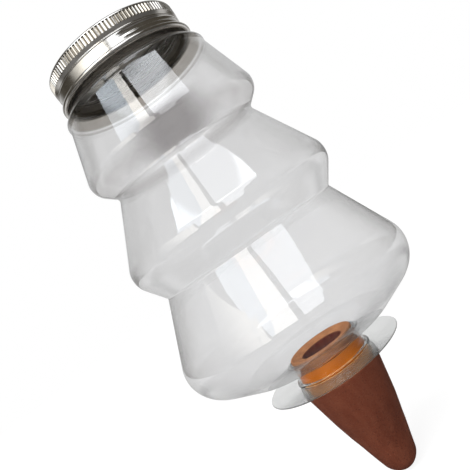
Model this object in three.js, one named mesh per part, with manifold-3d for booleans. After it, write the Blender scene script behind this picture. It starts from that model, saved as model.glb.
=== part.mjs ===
// Plant waterer: a tree-shaped clear bottle with a screw lid, standing on a terracotta soil spike.
// Millimetres, +Z up. The origin lies on the axis at the underside of the soil flange.

import * as THREE from 'three';
import { mergeVertices } from 'three/addons/utils/BufferGeometryUtils.js';
import Module from 'manifold-3d';

const wasm = await Module();
wasm.setup();

// Driving sizes: how finely round shapes are cut

const TURN_STEPS = 40; // flats in one full turn
const ROUND_STEPS = 3; // flats in one rounded corner
const BEAD_STEPS = 8; // flats round a rolled or rounded rim
const CORNER_SHARE = 0.49; // share of a straight side that the round at one end may take
const LEAST_ROUND = 0.2; // round that stays inside a corner when the wall is thicker than its round
const STRAIGHT_ANGLE = 0.01; // a corner that bends less than this is left as it is

// Driving sizes: fits

const SEAT_GAP = 0.3; // between pieces that sit on or in each other
const THREAD_GAP = 0.4; // between a thread's crest and the wall that it faces

// Driving sizes: soil flange and spout

const FLANGE_RADIUS = 35.5;
const FLANGE_THICKNESS = 1.2;
const SPOUT_DROP = 4.6; // how far the spout reaches below the flange
const SPOUT_WALL = 0.9;
const SPOUT_THROAT_RADIUS = 17.4; // inside, at the bottle's floor
const SPOUT_BEND_HEIGHT = 4.0; // where the spout's taper changes, above the flange's underside
const SPOUT_SEAT_RADIUS = 17.7; // inside, at the bend
const SPOUT_MOUTH_RADIUS = 19.0; // inside, at the lower end
const SPOUT_LEDGE_WIDTH = 2.2; // ring under the bottle's floor, beyond the spout's wall
const SPOUT_LEDGE_HEIGHT = 1.2;
const SPOUT_FILLET_WIDTH = 1.8; // slope that joins the spout to the underside of the flange
const SPOUT_FILLET_HEIGHT = 0.8;

// Driving sizes: bottle, from the floor to the neck

const BOTTLE_WALL = 1.0;
const FLOOR_HEIGHT = 12.0; // underside of the floor at its hole
const HEEL_RADIUS = 39.8;
const HEEL_RISE = 0.6;
const HEEL_ROUND = 6.0;
const LOWER_TIER_RADIUS = 65.8;
const LOWER_TIER_RISE = 13.7;
const LOWER_TIER_ROUND = 15.7;
const LOWER_WAIST_RADIUS = 46.2;
const LOWER_WAIST_RISE = 43.5;
const LOWER_WAIST_ROUND = 1.0;
const MIDDLE_TIER_RADIUS = 56.5;
const MIDDLE_TIER_RISE = 14.8;
const MIDDLE_TIER_ROUND = 10.8;
const UPPER_WAIST_RADIUS = 36.8;
const UPPER_WAIST_RISE = 37.8;
const UPPER_WAIST_ROUND = 6.5;
const UPPER_TIER_RADIUS = 47.2;
const UPPER_TIER_RISE = 6.9;
const UPPER_TIER_ROUND = 7.0;
const SHOULDER_RADIUS = 37.2;
const SHOULDER_RISE = 33.8;
const SHOULDER_ROUND = 1.9;
const NECK_RADIUS = 32.0;
const NECK_ROOT_RISE = 1.5;
const NECK_HEIGHT = 14.9;
const NECK_WALL = 1.6;

// Driving sizes: screw thread of the neck and the lid

const THREAD_PITCH = 4.0;
const THREAD_HEIGHT = 1.0;
const THREAD_BASE = 1.8; // width at the root
const THREAD_CREST = 0.8;
const NECK_THREAD_TURNS = 1.25;
const LID_THREAD_TURNS = 1.0;
const THREAD_RIM_GAP = 1.0; // from the neck thread's upper end to the neck's rim
const THREAD_ROOTING = 0.75; // share of the wall behind it that a thread's foot reaches into
const THREAD_RUN_OUT = Math.PI / 9; // angle over which a thread fades at each end

// Driving sizes: lid

const LID_WALL = 0.7;
const LID_EDGE_ROUND = 1.0;
const GRIP_BAND_HEIGHT = 5.6; // knurled band below the top
const GRIP_BAND_PROUD = 0.3;
const LID_BEAD_RADIUS = 0.35;
const LID_CURL_RADIUS = 1.25;
const LID_CURL_PROUD = 1.9; // how far the curl stands out of the skirt
const LID_LEDGE_GAP = 1.9; // from the neck's root up to the lower edge of the lid
const LID_GROOVE_DEPTH = 0.5;
const LID_GROOVE_BASE = 2.2; // width where the groove opens outside the skirt
const GASKET_THICKNESS = 1.0;
const GASKET_WIDTH = 4.5;

// Driving sizes: terracotta spike and its seal

const PLUG_HEIGHT = 10.5; // top of the plug above the underside of the flange
const PLUG_EDGE_ROUND = 0.8;
const PLUG_GAP = 0.5; // between the bare clay and the spout
const SHOULDER_EDGE_RADIUS = 20.9; // widest ring of the spike
const SPIKE_BELLY_DEPTH = 26.4;
const SPIKE_BELLY_RADIUS = 16.5;
const SPIKE_DEPTH = 61.3;
const SPIKE_TIP_ROUND = 9.2;
const BORE_RADIUS = 10.7;
const BORE_END_RADIUS = 5.0;
const BORE_DEPTH = 47.0;
const SEAL_TOP = 6.7;
const SEAL_BOTTOM = -0.9;
const SEAL_GROOVE_DEPTH = 1.0;

// Sizes that follow

const floorHole = SPOUT_THROAT_RADIUS + SPOUT_WALL + SEAT_GAP;
const heelZ = FLOOR_HEIGHT + HEEL_RISE;
const lowerTierZ = heelZ + LOWER_TIER_RISE;
const lowerWaistZ = lowerTierZ + LOWER_WAIST_RISE;
const middleTierZ = lowerWaistZ + MIDDLE_TIER_RISE;
const upperWaistZ = middleTierZ + UPPER_WAIST_RISE;
const upperTierZ = upperWaistZ + UPPER_TIER_RISE;
const shoulderZ = upperTierZ + SHOULDER_RISE;
const neckRootZ = shoulderZ + NECK_ROOT_RISE;
const neckTopZ = neckRootZ + NECK_HEIGHT;

const neckThreadZ = neckTopZ - THREAD_RIM_GAP - THREAD_BASE / 2 - NECK_THREAD_TURNS * THREAD_PITCH;
const lidThreadZ = neckThreadZ - THREAD_PITCH / 2;

const gasketZ = neckTopZ + SEAT_GAP;
const lidInsideZ = gasketZ + GASKET_THICKNESS + SEAT_GAP;
const lidTopZ = lidInsideZ + LID_WALL;
const lidBottomZ = neckRootZ + LID_LEDGE_GAP;
const lidInsideRadius = NECK_RADIUS + THREAD_HEIGHT + THREAD_GAP;
const lidRadius = lidInsideRadius + LID_WALL;

const spoutTopZ = FLOOR_HEIGHT + BOTTLE_WALL;
const spikeShoulderZ = -SPOUT_DROP - SEAT_GAP;

// Outlines: a corner has a radius from the axis, a height, and the round that eases it

function corner(radius, height, round = 0) {
  return { point: new THREE.Vector2(radius, height), round };
}

function arcPoints(centre, radius, from, to, steps) {
  const points = [];
  for (let i = 0; i <= steps; i++) {
    const angle = from + ((to - from) * i) / steps;
    points.push(new THREE.Vector2(Math.cos(angle), Math.sin(angle)).multiplyScalar(radius).add(centre));
  }
  return points;
}

// Points of one rounded corner between the corners before and after it
function easedCorner(before, here, after) {
  const back = before.point.clone().sub(here.point);
  const ahead = after.point.clone().sub(here.point);
  const room = CORNER_SHARE * Math.min(back.length(), ahead.length());
  back.normalize();
  ahead.normalize();
  const half = Math.acos(THREE.MathUtils.clamp(back.dot(ahead), -1, 1)) / 2;
  const straight = half > Math.PI / 2 - STRAIGHT_ANGLE;
  if (here.round <= 0 || straight) return [here.point.clone()];
  const cut = Math.min(here.round / Math.tan(half), room);
  const radius = cut * Math.tan(half);
  const middle = back.clone().add(ahead).normalize();
  const centre = here.point.clone().addScaledVector(middle, radius / Math.sin(half));
  const start = here.point.clone().addScaledVector(back, cut).sub(centre).angle();
  const end = here.point.clone().addScaledVector(ahead, cut).sub(centre).angle();
  const sweep = THREE.MathUtils.euclideanModulo(end - start + Math.PI, 2 * Math.PI) - Math.PI;
  return arcPoints(centre, radius, start, start + sweep, ROUND_STEPS);
}

function easedOutline(corners) {
  return corners.flatMap((here, i) => {
    const inner = i > 0 && i < corners.length - 1;
    return inner ? easedCorner(corners[i - 1], here, corners[i + 1]) : [here.point.clone()];
  });
}

// The same outline moved to its left, each side by its own wall. The first and last corners close the ends.
function insetCorners(corners, walls) {
  const sides = walls.map((wall, i) => {
    const along = corners[i + 1].point.clone().sub(corners[i].point).normalize();
    const left = new THREE.Vector2(-along.y, along.x);
    return { start: corners[i].point.clone().addScaledVector(left, wall), along, wall };
  });
  const inset = [];
  for (let i = 1; i < sides.length; i++) {
    const a = sides[i - 1];
    const b = sides[i];
    const bend = a.along.cross(b.along);
    const reach = b.start.clone().sub(a.start).cross(b.along) / bend;
    const point = a.start.clone().addScaledVector(a.along, reach);
    const wall = (a.wall + b.wall) / 2;
    const eased = Math.max(corners[i].round - Math.sign(bend) * wall, LEAST_ROUND);
    inset.push({ point, round: corners[i].round > 0 ? eased : 0 });
  }
  return inset;
}

// Solids

function turned(points) {
  const geometry = new THREE.LatheGeometry(points, TURN_STEPS);
  return geometry.rotateX(Math.PI / 2);
}

function closedLoop(points) {
  return [...points, points[0].clone()];
}

function toSolid(geometry) {
  const bare = geometry.clone();
  bare.deleteAttribute('normal');
  bare.deleteAttribute('uv');
  const merged = mergeVertices(bare);
  const index = merged.index.array;
  const triangles = [];
  for (let i = 0; i < index.length; i += 3) {
    const [a, b, c] = [index[i], index[i + 1], index[i + 2]];
    if (a !== b && b !== c && c !== a) triangles.push(a, b, c);
  }
  return new wasm.Manifold(
    new wasm.Mesh({
      numProp: 3,
      vertProperties: new Float32Array(merged.attributes.position.array),
      triVerts: new Uint32Array(triangles),
    }),
  );
}

function toGeometry(solid) {
  const mesh = solid.getMesh();
  const geometry = new THREE.BufferGeometry();
  geometry.setAttribute('position', new THREE.BufferAttribute(new Float32Array(mesh.vertProperties), 3));
  geometry.setIndex(new THREE.BufferAttribute(new Uint32Array(mesh.triVerts), 1));
  geometry.computeVertexNormals();
  return geometry;
}

// A closed skin over rings of points that follow each other, with a flat cap on each end
function lofted(rings) {
  const size = rings[0].length;
  const positions = rings.flat().flatMap((p) => [p.x, p.y, p.z]);
  const index = [];
  for (let ring = 0; ring < rings.length - 1; ring++) {
    for (let i = 0; i < size; i++) {
      const a = ring * size + i;
      const b = ring * size + ((i + 1) % size);
      index.push(a, b + size, b, a, a + size, b + size);
    }
  }
  const last = (rings.length - 1) * size;
  for (let i = 1; i < size - 1; i++) {
    index.push(0, i, i + 1);
    index.push(last, last + i + 1, last + i);
  }
  const geometry = new THREE.BufferGeometry();
  geometry.setAttribute('position', new THREE.Float32BufferAttribute(positions, 3));
  geometry.setIndex(index);
  return geometry;
}

// A right-hand helical ridge that stands out from rootRadius by height, or inwards if height is negative.
// Its foot reaches back behind the root, base and crest are its widths, and it fades at both ends.
function helicalRidge({ rootRadius, height, foot, base, crest, startZ, turns }) {
  const outward = Math.sign(height);
  const back = rootRadius - outward * foot;
  const buried = rootRadius - (outward * foot) / 2;
  const steps = Math.ceil(turns * TURN_STEPS);
  const rings = [];
  for (let i = 0; i <= steps; i++) {
    const angle = (turns * 2 * Math.PI * i) / steps;
    const around = angle + Math.PI / TURN_STEPS; // half a flat on, clear of the wall's edges
    const fromEnd = Math.min(angle, turns * 2 * Math.PI - angle);
    const fade = THREE.MathUtils.smoothstep(fromEnd, 0, THREAD_RUN_OUT);
    const edge = THREE.MathUtils.lerp(buried, rootRadius + height, fade);
    const z = startZ + (THREAD_PITCH * angle) / (2 * Math.PI);
    const section = [
      [back, -base / 2],
      [buried, -base / 2],
      [edge, -crest / 2],
      [edge, crest / 2],
      [buried, base / 2],
      [back, base / 2],
    ];
    if (outward < 0) section.reverse();
    rings.push(
      section.map(([r, up]) => new THREE.Vector3(r * Math.cos(around), r * Math.sin(around), z + up)),
    );
  }
  return lofted(rings);
}

// Sub-parts

function bottleGeometry() {
  const path = [
    corner(floorHole, FLOOR_HEIGHT - BOTTLE_WALL),
    corner(floorHole, FLOOR_HEIGHT),
    corner(HEEL_RADIUS, heelZ, HEEL_ROUND),
    corner(LOWER_TIER_RADIUS, lowerTierZ, LOWER_TIER_ROUND),
    corner(LOWER_WAIST_RADIUS, lowerWaistZ, LOWER_WAIST_ROUND),
    corner(MIDDLE_TIER_RADIUS, middleTierZ, MIDDLE_TIER_ROUND),
    corner(UPPER_WAIST_RADIUS, upperWaistZ, UPPER_WAIST_ROUND),
    corner(UPPER_TIER_RADIUS, upperTierZ, UPPER_TIER_ROUND),
    corner(SHOULDER_RADIUS, shoulderZ, SHOULDER_ROUND),
    corner(NECK_RADIUS, neckRootZ),
    corner(NECK_RADIUS, neckTopZ),
    corner(NECK_RADIUS - NECK_WALL, neckTopZ),
  ];
  const walls = path.slice(1).map(() => BOTTLE_WALL);
  walls[0] = 0;
  walls[walls.length - 2] = NECK_WALL;
  walls[walls.length - 1] = 0;
  const outside = easedOutline(path.slice(1, -1));
  const inside = easedOutline(insetCorners(path, walls));
  const shell = turned(closedLoop([...outside, ...inside.reverse()]));
  const thread = helicalRidge({
    rootRadius: NECK_RADIUS,
    height: THREAD_HEIGHT,
    foot: THREAD_ROOTING * NECK_WALL,
    base: THREAD_BASE,
    crest: THREAD_CREST,
    startZ: neckThreadZ,
    turns: NECK_THREAD_TURNS,
  });
  return toGeometry(toSolid(shell).add(toSolid(thread)));
}

// Inside radius of the spout at a height, in two tapers that meet at the bend
function spoutRadiusAt(z) {
  const lerp = THREE.MathUtils.mapLinear;
  if (z > SPOUT_BEND_HEIGHT) {
    return lerp(z, SPOUT_BEND_HEIGHT, spoutTopZ, SPOUT_SEAT_RADIUS, SPOUT_THROAT_RADIUS);
  }
  return lerp(z, -SPOUT_DROP, SPOUT_BEND_HEIGHT, SPOUT_MOUTH_RADIUS, SPOUT_SEAT_RADIUS);
}

function spoutCollarGeometry() {
  const rim = FLANGE_THICKNESS / 2;
  const rimCentre = new THREE.Vector2(FLANGE_RADIUS - rim, rim);
  const outside = (z) => spoutRadiusAt(z) + SPOUT_WALL;
  const throat = SPOUT_THROAT_RADIUS + SPOUT_WALL;
  const ledgeTop = FLOOR_HEIGHT - SEAT_GAP;
  const ledgeFoot = ledgeTop - SPOUT_LEDGE_HEIGHT;
  const ledgeRadius = throat + SPOUT_LEDGE_WIDTH;
  const points = [
    new THREE.Vector2(SPOUT_MOUTH_RADIUS, -SPOUT_DROP),
    new THREE.Vector2(outside(-SPOUT_DROP), -SPOUT_DROP),
    new THREE.Vector2(outside(-SPOUT_FILLET_HEIGHT), -SPOUT_FILLET_HEIGHT),
    new THREE.Vector2(outside(0) + SPOUT_FILLET_WIDTH, 0),
    ...arcPoints(rimCentre, rim, -Math.PI / 2, Math.PI / 2, BEAD_STEPS),
    new THREE.Vector2(outside(FLANGE_THICKNESS), FLANGE_THICKNESS),
    new THREE.Vector2(outside(SPOUT_BEND_HEIGHT), SPOUT_BEND_HEIGHT),
    new THREE.Vector2(outside(ledgeFoot), ledgeFoot),
    new THREE.Vector2(ledgeRadius, ledgeFoot),
    new THREE.Vector2(ledgeRadius, ledgeTop),
    new THREE.Vector2(throat, ledgeTop),
    new THREE.Vector2(throat, spoutTopZ),
    new THREE.Vector2(SPOUT_THROAT_RADIUS, spoutTopZ),
    new THREE.Vector2(SPOUT_SEAT_RADIUS, SPOUT_BEND_HEIGHT),
  ];
  return turned(closedLoop(points));
}

function plugRadiusAt(z) {
  return spoutRadiusAt(z) - PLUG_GAP;
}

function sealRingGeometry() {
  const inside = (z) => plugRadiusAt(z) - SEAL_GROOVE_DEPTH + SEAT_GAP;
  const outside = (z) => spoutRadiusAt(z) - SEAT_GAP;
  const bend = SPOUT_BEND_HEIGHT;
  const low = SEAL_BOTTOM + SEAT_GAP;
  const high = SEAL_TOP - SEAT_GAP;
  const heights = bend > low && bend < high ? [low, bend, high] : [low, high];
  const points = [
    ...heights.map((z) => new THREE.Vector2(outside(z), z)),
    ...heights.reverse().map((z) => new THREE.Vector2(inside(z), z)),
  ];
  return turned(closedLoop(points));
}

function spikeGeometry() {
  const ballCentre = new THREE.Vector2(0, SPIKE_TIP_ROUND - SPIKE_DEPTH);
  // angle at which the straight side of the cone touches the rounded tip
  const toBelly = new THREE.Vector2(SPIKE_BELLY_RADIUS, -SPIKE_BELLY_DEPTH).sub(ballCentre);
  const touch = toBelly.angle() - Math.acos(SPIKE_TIP_ROUND / toBelly.length());
  const groove = (z) => plugRadiusAt(z) - SEAL_GROOVE_DEPTH;
  const bend = SPOUT_BEND_HEIGHT;
  const inGroove = bend > SEAL_BOTTOM && bend < SEAL_TOP;
  const side = easedOutline([
    corner(SPIKE_BELLY_RADIUS, -SPIKE_BELLY_DEPTH),
    corner(SHOULDER_EDGE_RADIUS, spikeShoulderZ, PLUG_EDGE_ROUND),
    corner(plugRadiusAt(-SPOUT_DROP), spikeShoulderZ),
    corner(plugRadiusAt(SEAL_BOTTOM), SEAL_BOTTOM),
    corner(groove(SEAL_BOTTOM), SEAL_BOTTOM),
    ...(inGroove ? [corner(groove(bend), bend)] : []),
    corner(groove(SEAL_TOP), SEAL_TOP),
    corner(plugRadiusAt(SEAL_TOP), SEAL_TOP),
    corner(plugRadiusAt(PLUG_HEIGHT), PLUG_HEIGHT, PLUG_EDGE_ROUND),
    corner(BORE_RADIUS, PLUG_HEIGHT, PLUG_EDGE_ROUND),
    corner(BORE_END_RADIUS, BORE_END_RADIUS - BORE_DEPTH),
  ]);
  const boreEnd = new THREE.Vector2(0, BORE_END_RADIUS - BORE_DEPTH);
  const points = [
    ...arcPoints(ballCentre, SPIKE_TIP_ROUND, -Math.PI / 2, touch, BEAD_STEPS),
    ...side,
    ...arcPoints(boreEnd, BORE_END_RADIUS, 0, -Math.PI / 2, ROUND_STEPS).slice(1),
  ];
  // the outline starts and ends exactly on the axis
  points[0].x = 0;
  points[points.length - 1].x = 0;
  return turned(points);
}

function lidShellGeometry() {
  const gripRadius = lidRadius + GRIP_BAND_PROUD;
  const gripFoot = lidTopZ - GRIP_BAND_HEIGHT;
  const beadCentre = new THREE.Vector2(lidRadius, gripFoot - LID_BEAD_RADIUS);
  const curlCentre = new THREE.Vector2(
    lidRadius + LID_CURL_PROUD - LID_CURL_RADIUS,
    lidBottomZ + LID_CURL_RADIUS,
  );
  const curlStart = Math.PI - Math.acos(
    THREE.MathUtils.clamp((curlCentre.x - lidRadius) / LID_CURL_RADIUS, -1, 1),
  );
  const top = easedOutline([
    corner(0, lidTopZ),
    corner(gripRadius, lidTopZ, LID_EDGE_ROUND),
    corner(gripRadius, gripFoot),
    corner(lidRadius, gripFoot),
  ]);
  const inside = easedOutline([
    corner(lidInsideRadius, lidBottomZ),
    corner(lidInsideRadius, lidInsideZ, LID_EDGE_ROUND / 2),
    corner(0, lidInsideZ),
  ]);
  const points = [
    ...top,
    ...arcPoints(beadCentre, LID_BEAD_RADIUS, Math.PI / 2, -Math.PI / 2, ROUND_STEPS).slice(1),
    ...arcPoints(curlCentre, LID_CURL_RADIUS, curlStart, -Math.PI / 2, BEAD_STEPS),
    ...inside,
  ];
  const shell = toSolid(turned(points.reverse()));
  const ridge = helicalRidge({
    rootRadius: lidInsideRadius,
    height: -THREAD_HEIGHT,
    foot: THREAD_ROOTING * LID_WALL,
    base: THREAD_BASE,
    crest: THREAD_CREST,
    startZ: lidThreadZ,
    turns: LID_THREAD_TURNS,
  });
  const groove = helicalRidge({
    rootRadius: lidRadius,
    height: -LID_GROOVE_DEPTH,
    foot: LID_WALL,
    base: LID_GROOVE_BASE,
    crest: THREAD_CREST,
    startZ: lidThreadZ,
    turns: LID_THREAD_TURNS,
  });
  return toGeometry(shell.add(toSolid(ridge)).subtract(toSolid(groove)));
}

function lidGasketGeometry() {
  const outer = lidInsideRadius - SEAT_GAP;
  const low = gasketZ;
  const high = gasketZ + GASKET_THICKNESS;
  const section = [
    new THREE.Vector2(outer - GASKET_WIDTH, low),
    new THREE.Vector2(outer, low),
    new THREE.Vector2(outer, high),
    new THREE.Vector2(outer - GASKET_WIDTH, high),
  ];
  return turned(closedLoop(section));
}

// Finishes

const clearPlastic = () =>
  new THREE.MeshStandardMaterial({
    color: 0xe4e7e8,
    roughness: 0.05,
    metalness: 0,
    transparent: true,
    opacity: 0.35,
  });
const tinplate = () => new THREE.MeshStandardMaterial({ color: 0xbdb8b0, roughness: 0.25, metalness: 1 });
const plastisol = () => new THREE.MeshStandardMaterial({ color: 0x8d8a84, roughness: 0.6, metalness: 0 });
const amberRubber = () => new THREE.MeshStandardMaterial({ color: 0xc77612, roughness: 0.4, metalness: 0 });
const terracotta = () => new THREE.MeshStandardMaterial({ color: 0x6b392b, roughness: 0.9, metalness: 0 });

// Assembly

function piece(name, geometry, material) {
  const mesh = new THREE.Mesh(geometry, material);
  mesh.name = name;
  return mesh;
}

const waterer = new THREE.Group();
waterer.add(
  piece('spike', spikeGeometry(), terracotta()),
  piece('seal_ring', sealRingGeometry(), amberRubber()),
  piece('spout_collar', spoutCollarGeometry(), clearPlastic()),
  piece('bottle', bottleGeometry(), clearPlastic()),
  piece('lid_gasket', lidGasketGeometry(), plastisol()),
  piece('lid_shell', lidShellGeometry(), tinplate()),
);

export default waterer;
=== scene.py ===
# %% [markdown]
# # Plant waterer
# A clear blow-moulded bottle in three flared tiers, closed by a rolled metal screw lid, stands on a
# spout with a flange, and a terracotta spike with an amber seal plugs the spout from below. The solids
# come from CAD at their real size. This lesson dresses them: each piece is turned again as a smooth
# mesh in the same place, and gets the finish that it has on the real object.

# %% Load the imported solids
import math

import bmesh
import bpy
from mathutils import Matrix, Vector, noise


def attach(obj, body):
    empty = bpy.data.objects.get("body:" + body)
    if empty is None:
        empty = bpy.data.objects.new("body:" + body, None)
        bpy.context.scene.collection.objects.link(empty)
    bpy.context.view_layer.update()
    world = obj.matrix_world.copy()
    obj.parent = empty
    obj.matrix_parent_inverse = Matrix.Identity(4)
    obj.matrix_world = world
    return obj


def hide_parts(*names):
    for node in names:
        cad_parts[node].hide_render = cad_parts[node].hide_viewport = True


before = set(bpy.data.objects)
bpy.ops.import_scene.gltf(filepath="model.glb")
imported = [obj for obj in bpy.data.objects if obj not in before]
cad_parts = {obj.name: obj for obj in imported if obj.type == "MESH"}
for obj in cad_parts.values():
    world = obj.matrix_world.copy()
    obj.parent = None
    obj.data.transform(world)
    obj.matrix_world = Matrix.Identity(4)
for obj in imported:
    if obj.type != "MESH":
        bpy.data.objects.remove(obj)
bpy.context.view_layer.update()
scene = bpy.context.scene
scene.view_settings.view_transform = "Standard"

# %% [markdown]
# ## Camera
# The photograph looks level at the middle of the bottle from close by, and the picture is rolled, so
# the bottle leans to the left. The camera's three axes are written out, because a roll is easier to
# read that way than as angles. The lens and the distance were found from how much the near side of
# each tier is enlarged.

# %% Make the camera
ROLL = math.radians(35.5)
LENS = 42.92
SENSOR_WIDTH = 36
CAMERA_PLACE = (-0.00318, -0.2674, 0.0761)

camera_data = bpy.data.cameras.new("photo_camera")
camera_data.sensor_width = SENSOR_WIDTH
camera_data.lens = LENS
camera = bpy.data.objects.new("photo_camera", camera_data)
right = Vector((math.cos(ROLL), 0, -math.sin(ROLL)))
up = Vector((math.sin(ROLL), 0, math.cos(ROLL)))
axes = Matrix((right, up, right.cross(up))).transposed()
camera.matrix_world = Matrix.Translation(CAMERA_PLACE) @ axes.to_4x4()
scene.collection.objects.link(camera)
scene.camera = camera
print("camera looks along", tuple(round(x, 3) for x in -right.cross(up)))

# %% [markdown]
# ## Turned outlines
# Almost every piece here is round, so its maker thinks of a section and an axis. The section is a
# chain of a few corners. A vertex bevel eases each corner by its own radius, and a spin turns the
# chain into a skin. That keeps the numbers few and true: radius, height and round, in millimetres.
# Smooth shading would bend a long straight wall over its whole length, so each long edge gets a guard
# point close to both ends, and the bend stays between the guard and the round.

# %% Helpers that draw an outline
MM = 0.001
ROUND_SEGMENTS = 12
LONG_EDGE = 5.0
GUARD_REACH = 0.4


def ease_corner(bm, vert, radius, segments):
    """Rounds one corner of an outline, tangent to the two edges that meet there."""
    first, second = (edge.other_vert(vert).co - vert.co for edge in vert.link_edges)
    reach = radius / math.tan(first.angle(second) / 2)
    bmesh.ops.bevel(
        bm, geom=[vert], offset=reach, offset_type="OFFSET", segments=segments,
        profile=0.5, affect="VERTICES", material=-1,
    )


def guard_long_edges(bm):
    """Adds a point near both ends of each long edge, so that smooth shading bends only there."""
    for edge in bm.edges[:]:
        length = edge.calc_length()
        if length < LONG_EDGE * MM:
            continue
        start, end = (vert.co.copy() for vert in edge.verts)
        reach = (end - start) * (GUARD_REACH * MM / length)
        made = bmesh.ops.subdivide_edges(bm, edges=[edge], cuts=2)["geom_inner"]
        for vert in (item for item in made if isinstance(item, bmesh.types.BMVert)):
            near_start = (vert.co - start).length < length / 2
            vert.co = start + reach if near_start else end - reach


def draw_outline(bm, corners, closed=False, segments=ROUND_SEGMENTS):
    """Edges through corners of (radius, height, round), all in millimetres."""
    verts = [bm.verts.new((radius * MM, 0, height * MM)) for radius, height, _ in corners]
    for a, b in zip(verts, verts[1:] + (verts[:1] if closed else [])):
        bm.edges.new((a, b))
    for vert, (_, _, ease) in zip(verts, corners):
        if ease:
            ease_corner(bm, vert, ease * MM, segments)
    guard_long_edges(bm)


def divide_longest(bm, low, high, cuts):
    """Cuts the longest edge with its middle between two heights, so that it can be shaped further."""
    inside = [
        edge for edge in bm.edges
        if low * MM < sum(vert.co.z for vert in edge.verts) / 2 < high * MM
    ]
    longest = max(inside, key=lambda edge: edge.calc_length())
    bmesh.ops.subdivide_edges(bm, edges=[longest], cuts=cuts)

# %% Helpers that turn an outline and finish a piece
TURN_STEPS = 180
SHARP_ANGLE = math.radians(40)
SAME_POINT = 1e-7


def turn(bm, steps=TURN_STEPS):
    """Spins the outline a full turn about the axis and makes the skin point outwards."""
    bmesh.ops.spin(
        bm, geom=bm.verts[:] + bm.edges[:], axis=(0, 0, 1), cent=(0, 0, 0),
        angle=2 * math.pi, steps=steps, use_merge=True,
    )
    bmesh.ops.remove_doubles(bm, verts=bm.verts[:], dist=SAME_POINT)
    bmesh.ops.recalc_face_normals(bm, faces=bm.faces[:])


def finish_piece(bm, name, body, node, slot, *materials):
    """Turns the bmesh into an object that rides on its body and stands for its CAD node."""
    for face in bm.faces:
        face.smooth = True
    for edge in bm.edges:
        edge.smooth = edge.calc_face_angle(0) < SHARP_ANGLE
    mesh = bpy.data.meshes.new(name)
    bm.to_mesh(mesh)
    bm.free()
    for material in materials:
        mesh.materials.append(material)
    piece = bpy.data.objects.new(name, mesh)
    scene.collection.objects.link(piece)
    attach(piece, body)
    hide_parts(node)
    size = [round(x / MM, 1) for x in piece.dimensions]
    print(name, "is", size, "mm with", len(mesh.polygons), "faces")
    return piece


def around(vert):
    """Angle of a vertex about the axis, from 0 to a full turn, counted from +X."""
    return math.atan2(vert.co.y, vert.co.x) % (2 * math.pi)


def push_out(vert, distance):
    """Moves a vertex away from the axis."""
    flat = Vector((vert.co.x, vert.co.y, 0))
    vert.co += flat.normalized() * distance


def smooth_step(low, high, x):
    """0 below low, 1 above high, and a soft S between them."""
    t = min(max((x - low) / (high - low), 0), 1)
    return t * t * (3 - 2 * t)

# %% [markdown]
# ## Uneven surfaces
# No real surface is the same all over: clay has darker patches, rolled metal has a haze, clear plastic
# has a faint ripple from the mould. One node group serves them all. It makes a soft mask from noise
# that can be stretched, and each material sets its own scale and uses the mask in its own way.

# %% Build the shared node group
def connect(tree, output, socket):
    """Links an output to an input."""
    tree.links.new(output, socket)


def place(tree, kind, **settings):
    """Adds a node and sets its properties by name."""
    node = tree.nodes.new(kind)
    for name, value in settings.items():
        setattr(node, name, value)
    return node


uneven = bpy.data.node_groups.new("uneven_surface", "ShaderNodeTree")
uneven.interface.new_socket("Vector", in_out="INPUT", socket_type="NodeSocketVector")
for name, default in (("Scale", 100.0), ("Detail", 3.0), ("Low", 0.35), ("High", 0.65)):
    socket = uneven.interface.new_socket(name, in_out="INPUT", socket_type="NodeSocketFloat")
    socket.default_value = default
uneven.interface.new_socket("Mask", in_out="OUTPUT", socket_type="NodeSocketFloat")
group_in = place(uneven, "NodeGroupInput")
group_out = place(uneven, "NodeGroupOutput")
cloud = place(uneven, "ShaderNodeTexNoise")
low_to_high = place(uneven, "ShaderNodeMapRange", interpolation_type="SMOOTHSTEP")
for name in ("Vector", "Scale", "Detail"):
    connect(uneven, group_in.outputs[name], cloud.inputs[name])
connect(uneven, cloud.outputs["Fac"], low_to_high.inputs["Value"])
connect(uneven, group_in.outputs["Low"], low_to_high.inputs["From Min"])
connect(uneven, group_in.outputs["High"], low_to_high.inputs["From Max"])
connect(uneven, low_to_high.outputs["Result"], group_out.inputs["Mask"])
print("node group", uneven.name, "with", len(uneven.nodes), "nodes")

# %% [markdown]
# ## Masks and blends
# A finish changes from place to place: painted shade on the plastic, a plug painted paler as painted
# light, painted shade in the gaps of the knurl. Each change is a mask from 0 to 1 and two colours to
# blend by it. The masks read Object coordinates, so they stay on the piece when it moves. Small helpers
# keep the materials short to read.

# %% Helpers that start a material and vary it
def new_material(name):
    """A material with its node tree, its Principled shader and Object coordinates."""
    material = bpy.data.materials.new(name)
    material.use_nodes = True
    tree = material.node_tree
    shader = tree.nodes["Principled BSDF"]
    coords = place(tree, "ShaderNodeTexCoord").outputs["Object"]
    return material, tree, shader, coords


def stretched(tree, coords, scale):
    """The coordinates scaled by three factors, so that a pattern runs along one direction."""
    mapping = place(tree, "ShaderNodeMapping")
    mapping.inputs["Scale"].default_value = scale
    connect(tree, coords, mapping.inputs["Vector"])
    return mapping.outputs["Vector"]


def mask(tree, coords, scale, low=0.35, high=0.65, detail=3.0):
    """One use of the shared group."""
    node = place(tree, "ShaderNodeGroup", node_tree=uneven)
    connect(tree, coords, node.inputs["Vector"])
    for name, value in (("Scale", scale), ("Low", low), ("High", high), ("Detail", detail)):
        node.inputs[name].default_value = value
    return node.outputs["Mask"]


def blend_colours(tree, factor, first, second):
    """A colour that goes from first to second as the factor rises; either may be a socket."""
    mix = place(tree, "ShaderNodeMix", data_type="RGBA")
    connect(tree, factor, mix.inputs["Factor"])
    for name, colour in (("A", first), ("B", second)):
        socket = next(s for s in mix.inputs if s.name == name and s.type == "RGBA")
        if isinstance(colour, tuple):
            socket.default_value = (*colour, 1)
        else:
            connect(tree, colour, socket)
    return next(s for s in mix.outputs if s.type == "RGBA")


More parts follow.
